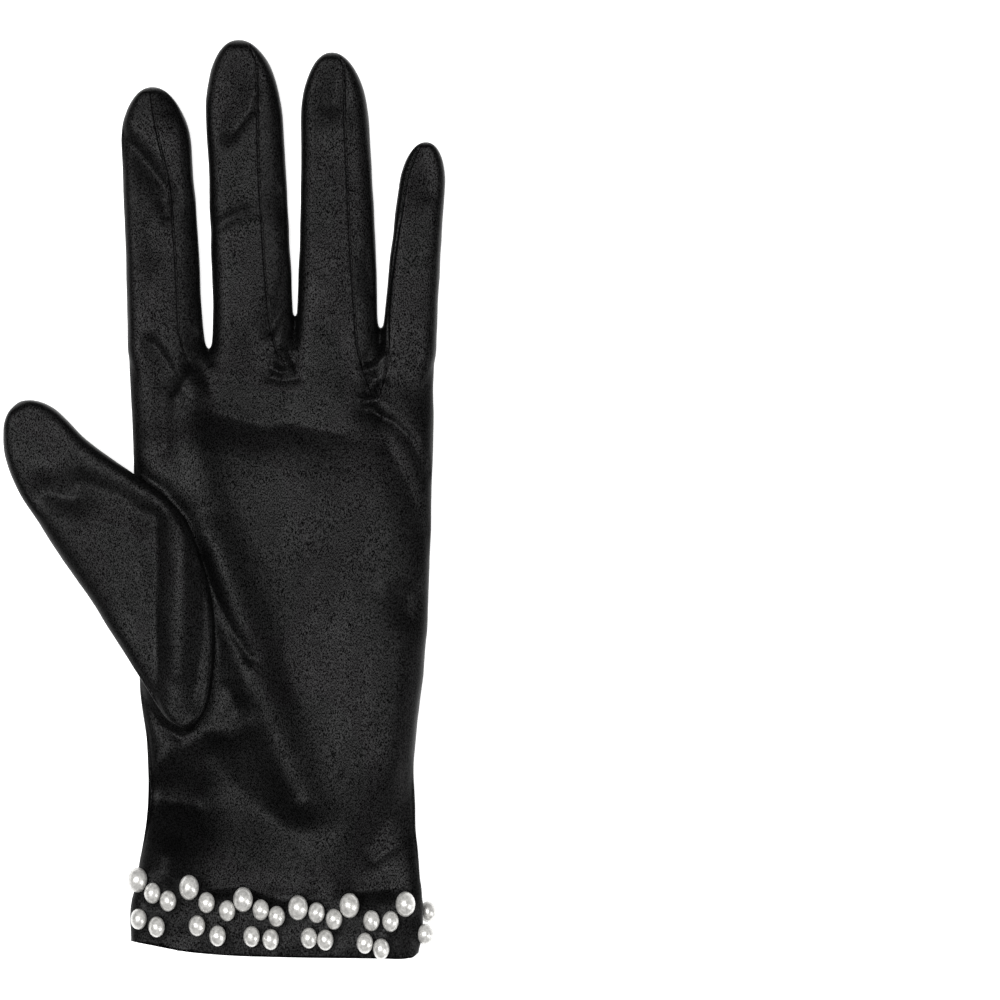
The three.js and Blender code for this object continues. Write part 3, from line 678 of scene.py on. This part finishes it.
def mark_seams(obj):
    """Stores each point's distance from the nearest seam in mm, below 0 at its left, the run along it,
    and how strongly the seam shows there, from 0 to 1."""
    points = read_points(obj.data)
    nearest = np.full(len(points), np.inf)
    run, shows = np.zeros(len(points)), np.zeros(len(points))
    for path in SEAMS.values():
        distance, side, along = path_distance(points, photo_path(path))
        distance, along = distance / MM, along / MM
        nearer = distance < np.abs(nearest)
        nearest = np.where(nearer, np.copysign(distance, side), nearest)
        run = np.where(nearer, along, run)
        from_end = np.minimum(along, along.max() - along)
        here = smoothstep(from_end, 0, SEAM_FADE) * smoothstep(distance, SEAM_WIDE, SEAM_NARROW)
        shows = np.where(nearer, here, shows)
    add_attribute(obj.data, "seam", np.clip(nearest, -SEAM_LIMIT, SEAM_LIMIT))
    add_attribute(obj.data, "seam_run", run)
    add_attribute(obj.data, "seam_shows", shows)


# Pearls

pearl_nodes = sorted(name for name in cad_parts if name.startswith("pearl"))


def pearl_of(node):
    """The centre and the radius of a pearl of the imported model, with its node's name."""
    low, high = (Vector(corner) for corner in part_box(node))
    return (low + high) / 2, (high.z - low.z) / 2, node


pearls = [pearl_of(node) for node in pearl_nodes]

# The cloth

hand = fused("glove_hand", [hand_form()] + [finger_form(f) for f in FINGERS], HAND_SMOOTHING)
open_cuff(hand)
shape_cloth(hand, HAND_FOLDS + GATHERS, HAND_CRUMPLE)
seat_pearls(hand, pearls)
thin_out(hand, KEPT_FACES)
line_cuff(hand)
mark_seams(hand)

thumb = fused("glove_thumb", [thumb_form()], THUMB_SMOOTHING)
shape_cloth(thumb, THUMB_FOLDS, THUMB_CRUMPLE)
# No seam of the table is on the thumb, but its satin reads the same values
for attribute in ("seam", "seam_run", "seam_shows"):
    add_attribute(thumb.data, attribute, np.zeros(len(thumb.data.vertices)))

# Materials. A noise has its scale and its detail, and a span is the part of its range that is used.

NOISE_ROUGHNESS = 0.6
THREAD_STRETCH = (1, 0.6, 1)
THREAD_NOISE, THREAD_SPAN = (4000, 2), (0.4, 0.6)
CLOUD_NOISE, CLOUD_SPAN = (70, 3), (0.35, 0.65)
THREAD_RELIEF = 0.04 * MM
SATIN_COLOURS = ((0.0004, 0.0004, 0.0004), (0.0024, 0.0024, 0.0025))
SHINE_TINTS = ((0.01, 0.01, 0.01), (1, 1, 1))
SATIN_ROUGHNESS = (0.42, 0.48)
SATIN_SHINE = 0.14
SATIN_RUN = 0.3  # how much wider the shine spreads across the long threads than along them

PEARL_NOISE, PEARL_SPAN = (1100, 3), (0.35, 0.65)
PEARL_RELIEF = 0.06 * MM
PEARL_COLOURS = ((0.37, 0.365, 0.35), (0.64, 0.63, 0.605))
PEARL_COAT = {
    "Metallic": 0.3,
    "Roughness": 0.3,
    "Specular IOR Level": 0.6,
    "Coat Weight": 1.0,
    "Coat Roughness": 0.27,
}


def node_material(name):
    """A new material with a shader of its own, and what is needed to add to it."""
    material = bpy.data.materials.new(name)
    material.use_nodes = True
    nodes, links = material.node_tree.nodes, material.node_tree.links
    nodes.clear()
    output = nodes.new("ShaderNodeOutputMaterial")
    shader = nodes.new("ShaderNodeBsdfPrincipled")
    links.new(shader.outputs["BSDF"], output.inputs["Surface"])
    return material, nodes, links, shader


def math_node(nodes, links, operation, a, b=None):
    """The result of an operation on one or two numbers or sockets."""
    node = nodes.new("ShaderNodeMath")
    node.operation = operation
    for socket, value in zip(node.inputs, (a, b)):
        if value is None:
            continue
        if isinstance(value, (int, float)):
            socket.default_value = value
        else:
            links.new(value, socket)
    return node.outputs[0]


def thread_noise(nodes, links, turn, stretch, size):
    """Noise drawn out along the threads, turned in the plane of the cloth."""
    scale, detail = size
    place = nodes.new("ShaderNodeTexCoord")
    mapping = nodes.new("ShaderNodeMapping")
    mapping.inputs["Rotation"].default_value = (0, 0, turn)
    mapping.inputs["Scale"].default_value = stretch
    links.new(place.outputs["Object"], mapping.inputs["Vector"])
    noise = nodes.new("ShaderNodeTexNoise")
    noise.inputs["Scale"].default_value = scale
    noise.inputs["Detail"].default_value = detail
    noise.inputs["Roughness"].default_value = NOISE_ROUGHNESS
    links.new(mapping.outputs["Vector"], noise.inputs["Vector"])
    return noise.outputs["Fac"]


def map_range(nodes, links, value, old, new):
    """A value taken softly from its old range to a new one."""
    node = nodes.new("ShaderNodeMapRange")
    node.interpolation_type = "SMOOTHSTEP"
    for name, number in zip(("From Min", "From Max", "To Min", "To Max"), (*old, *new)):
        node.inputs[name].default_value = number
    links.new(value, node.inputs["Value"])
    return node.outputs["Result"]


def attribute_of(nodes, name):
    node = nodes.new("ShaderNodeAttribute")
    node.attribute_name = name
    return node.outputs["Fac"]


def tint_of(nodes, links, value, span, colours):
    """A colour from the first to the second, as value goes through its span."""
    ramp = nodes.new("ShaderNodeValToRGB")
    for element, place, colour in zip(ramp.color_ramp.elements, span, colours):
        element.position = place
        element.color = (*colour, 1)
    links.new(value, ramp.inputs["Fac"])
    return ramp.outputs["Color"]


def relief(nodes, links, height, distance, before=None):
    """A bump of that height in metres, on top of another one."""
    bump = nodes.new("ShaderNodeBump")
    bump.inputs["Strength"].default_value = 1.0
    bump.inputs["Distance"].default_value = distance
    links.new(height, bump.inputs["Height"])
    if before is not None:
        links.new(before, bump.inputs["Normal"])
    return bump.outputs["Normal"]


def satin_material(name, turn):
    """Black satin, shiny across its long threads and dull along them, with the seams' grooves."""
    material, nodes, links, shader = node_material(name)
    threads = thread_noise(nodes, links, turn, THREAD_STRETCH, THREAD_NOISE)
    cloud = thread_noise(nodes, links, turn, THREAD_STRETCH, CLOUD_NOISE)

    colour = tint_of(nodes, links, threads, THREAD_SPAN, SATIN_COLOURS)
    links.new(colour, shader.inputs["Base Color"])
    shine = tint_of(nodes, links, threads, THREAD_SPAN, SHINE_TINTS)
    links.new(shine, shader.inputs["Specular Tint"])
    dullness = map_range(nodes, links, cloud, CLOUD_SPAN, SATIN_ROUGHNESS)
    links.new(dullness, shader.inputs["Roughness"])
    shader.inputs["Specular IOR Level"].default_value = SATIN_SHINE
    shader.inputs["Anisotropic"].default_value = SATIN_RUN
    thread_way = nodes.new("ShaderNodeVectorTransform")
    thread_way.vector_type = "VECTOR"
    thread_way.convert_from = "OBJECT"
    thread_way.convert_to = "WORLD"
    thread_way.inputs["Vector"].default_value = (math.cos(turn), math.sin(turn), 0)
    links.new(thread_way.outputs["Vector"], shader.inputs["Tangent"])

    seam = math_node(nodes, links, "ABSOLUTE", attribute_of(nodes, "seam"))
    shows = attribute_of(nodes, "seam_shows")
    groove = map_range(nodes, links, seam, (0.0, GROOVE_HALF), (-GROOVE_DEPTH, 0.0))
    turned = math_node(nodes, links, "MULTIPLY", attribute_of(nodes, "seam_run"), PUCKER_WAVE)
    ripple = math_node(nodes, links, "SINE", turned)
    depth = map_range(nodes, links, seam, PUCKER_REACH, (PUCKER_DEPTH, 0.0))
    pucker = math_node(nodes, links, "MULTIPLY", ripple, depth)
    both = math_node(nodes, links, "ADD", groove, pucker)
    height = math_node(nodes, links, "MULTIPLY", both, shows)
    sewn = relief(nodes, links, height, 1 * MM)
    links.new(relief(nodes, links, threads, THREAD_RELIEF, sewn), shader.inputs["Normal"])
    return material


def pearl_material():
    """Imitation pearl: a pale coat with faint mottling under a clear gloss."""
    material, nodes, links, shader = node_material("pearl_coat")
    mottle = thread_noise(nodes, links, 0.0, (1, 1, 1), PEARL_NOISE)
    links.new(tint_of(nodes, links, mottle, PEARL_SPAN, PEARL_COLOURS), shader.inputs["Base Color"])
    for socket, value in PEARL_COAT.items():
        shader.inputs[socket].default_value = value
    links.new(relief(nodes, links, mottle, PEARL_RELIEF), shader.inputs["Normal"])
    return material


def dress(obj, material, nodes):
    """Gives a piece its material and slot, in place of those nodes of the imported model."""
    obj.data.materials.clear()
    obj.data.materials.append(material)
    obj.data.shade_smooth()
    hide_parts(*nodes)
    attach(obj, "root")


satin = satin_material("black_satin", 0.0)
thumb_satin = satin_material("black_satin_on_the_cross", THUMB_TURN - math.pi / 2)
dress(
    hand, satin,
    ["palm_and_back", "fourchette_index_middle", "fourchette_middle_ring", "fourchette_ring_little"],
)
dress(thumb, thumb_satin, ["thumb"])

pearl_coat = pearl_material()


def pearl_object(centre, radius, node):
    """A slightly uneven oval bead."""
    obj = new_object(node.replace("pearl", "bead"), [], [])
    shape = bmesh.new()
    bmesh.ops.create_uvsphere(shape, u_segments=PEARL_SEGMENTS, v_segments=PEARL_RINGS, radius=radius)
    uneven = rng.uniform(-1, 1, 3)
    for vertex in shape.verts:
        x, y, z = vertex.co / radius
        bulge = uneven[0] * x * y + uneven[1] * y * z + uneven[2] * math.sin(3 * x + 2 * y)
        swell = 1 + PEARL_UNEVEN * bulge
        vertex.co = Vector((x, z * PEARL_STRETCH, -y)) * radius * swell
    shape.to_mesh(obj.data)
    shape.free()
    obj.data.transform(Matrix.Translation(centre))
    return obj


for centre, radius, node in pearls:
    dress(pearl_object(centre, radius, node), pearl_coat, [node])

# Stage: a lit white table, a tall soft light a little to the left, a small one low at the right,
# and the camera straight above

FLOOR_HALF = 3
FLOOR_Z = -0.1 * MM  # a little under the glove, so that no face of it lies in the floor's own plane
FLOOR_LOOK = {
    "Base Color": (0.8, 0.8, 0.8, 1),
    "Roughness": 0.9,
    "Emission Color": (1, 1, 1, 1),
    "Emission Strength": 0.8,
}

# Each light's place from the glove's middle, its size and its power
LIGHTS = {
    "tall_soft_light": ((-0.57, 0.05, 2.12), (0.6, 1.5), 60),
    "low_light": ((1.6, -0.7, 0.95), (0.5, 1.2), 20),
}
WORLD_COLOUR, WORLD_STRENGTH = (1, 1, 1, 1), 0.15

corners = [(x * FLOOR_HALF, y * FLOOR_HALF, FLOOR_Z) for x, y in ((-1, -1), (1, -1), (1, 1), (-1, 1))]
floor = new_object("floor", corners, [(0, 1, 2, 3)])
floor_material, _, _, floor_shader = node_material("white_table")
for socket, value in FLOOR_LOOK.items():
    floor_shader.inputs[socket].default_value = value
floor.data.materials.append(floor_material)


def area_light(name, place, aim, size, power):
    """A rectangular light at a place, turned to shine at another."""
    light = bpy.data.lights.new(name, "AREA")
    light.shape = "RECTANGLE"
    light.size, light.size_y = size
    light.energy = power
    obj = bpy.data.objects.new(name, light)
    obj.location = place
    obj.rotation_euler = (Vector(aim) - Vector(place)).to_track_quat("-Z", "Y").to_euler()
    bpy.context.scene.collection.objects.link(obj)


aim = (*from_photo(*GLOVE_MIDDLE_PX), 0)
for name, (offset, size, power) in LIGHTS.items():
    area_light(name, [a + b for a, b in zip(aim, offset)], aim, size, power)
world = bpy.data.worlds.new("studio")
world.use_nodes = True
background = world.node_tree.nodes["Background"]
background.inputs["Color"].default_value = WORLD_COLOUR
background.inputs["Strength"].default_value = WORLD_STRENGTH
bpy.context.scene.world = world
bpy.context.scene.view_settings.view_transform = "Standard"

SENSOR = 36.0
LENS = 250.0
CLIP_END = 20
SUBJECT_HEIGHT = 6 * MM
view_side = PHOTO_SIDE_PX * PIXEL
middle_x, middle_y = from_photo(*PHOTO_MIDDLE_PX)
camera_data = bpy.data.cameras.new("camera")
camera_data.sensor_width = SENSOR
camera_data.lens = LENS
camera_data.clip_end = CLIP_END
camera = bpy.data.objects.new("camera", camera_data)
camera.location = (middle_x, middle_y, SUBJECT_HEIGHT + view_side * LENS / SENSOR)
bpy.context.scene.collection.objects.link(camera)
bpy.context.scene.camera = camera
